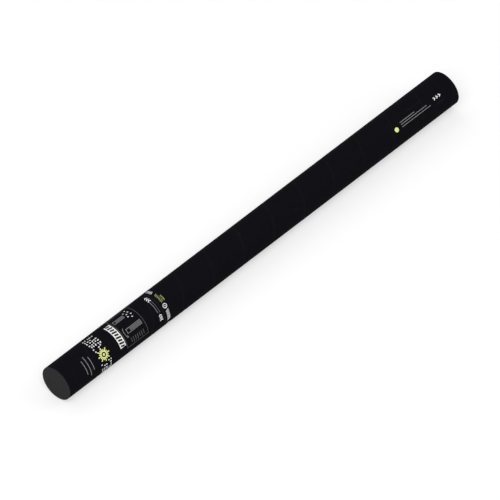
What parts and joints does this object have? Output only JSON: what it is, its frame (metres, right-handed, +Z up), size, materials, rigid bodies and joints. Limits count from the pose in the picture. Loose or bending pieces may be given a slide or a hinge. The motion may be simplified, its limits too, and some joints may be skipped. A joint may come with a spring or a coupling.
{
  "type": "confetti popper",
  "caption": "Slim black hand-held confetti popper: twisting the handle end pierces a gas bottle, which blows a load of silver slips out of the muzzle.",
  "frame": {"origin": "on the floor under the middle of the tube, which lies on its side", "axes": "+X along the tube from the base cap to the muzzle, +Y across it, +Z up"},
  "size_m": [0.8, 0.054, 0.054],
  "materials": {
    "black_wrap": "matte",
    "tube_board": "matte",
    "cap_plastic": "matte",
    "breech_plastic": "satin",
    "sleeve_plastic": "satin",
    "cup_plastic": "satin",
    "bright_steel": "satin",
    "black_rubber": "matte",
    "bottle_aluminium": "satin",
    "seal_foil": "gloss",
    "check_plastic": "satin",
    "grey_felt": "matte",
    "silver_slips": "gloss",
    "band_paper": "matte",
    "disc_board": "matte"
  },
  "bodies": {
    "barrel": {"barrel_tube": "tube_board", "barrel_wrap": "black_wrap", "breech_block": "breech_plastic", "guide_sleeve": "sleeve_plastic", "piercing_lance": "bright_steel", "lance_nut": "bright_steel", "mouth_gasket": "black_rubber", "retaining_ring": "bright_steel", "thrust_washer": "sleeve_plastic", "safety_spring": "bright_steel"},
    "handle": {"handle_tube": "tube_board", "handle_wrap": "black_wrap", "base_cap": "cap_plastic", "cam_sleeve": "sleeve_plastic"},
    "carriage": {"bottle_cup": "cup_plastic", "bottle_pad": "black_rubber", "gas_bottle": "bottle_aluminium", "bottle_seal": "seal_foil", "cam_pins": "bright_steel"},
    "shot": {"gas_check": "check_plastic", "felt_wad": "grey_felt", "confetti_bundle_1": "silver_slips", "confetti_bundle_2": "silver_slips", "confetti_bundle_3": "silver_slips", "confetti_bundle_4": "silver_slips", "confetti_bundle_5": "silver_slips", "confetti_bundle_6": "silver_slips", "confetti_bundle_7": "silver_slips", "confetti_bundle_8": "silver_slips", "confetti_bundle_9": "silver_slips", "paper_bands": "band_paper", "muzzle_disc": "disc_board"}
  },
  "joints": [
    {"name": "handle_twist", "type": "hinge", "parent": "barrel", "child": "handle", "pos_m": [-0.206, 0, 0.027], "axis": [-1, 0, 0], "range_deg": [0, 90]},
    {"name": "bottle_advance", "type": "slide", "parent": "barrel", "child": "carriage", "axis": [1, 0, 0], "range_m": [0, 0.008], "deforming": ["safety_spring", "bottle_seal"]},
    {"name": "load_shot", "type": "slide", "parent": "barrel", "child": "shot", "axis": [1, 0, 0], "range_m": [0, 0.54]}
  ],
  "couplings": [
    {"joint": "bottle_advance", "follows": "handle_twist", "m_per_rad": 0.0050925}
  ]
}
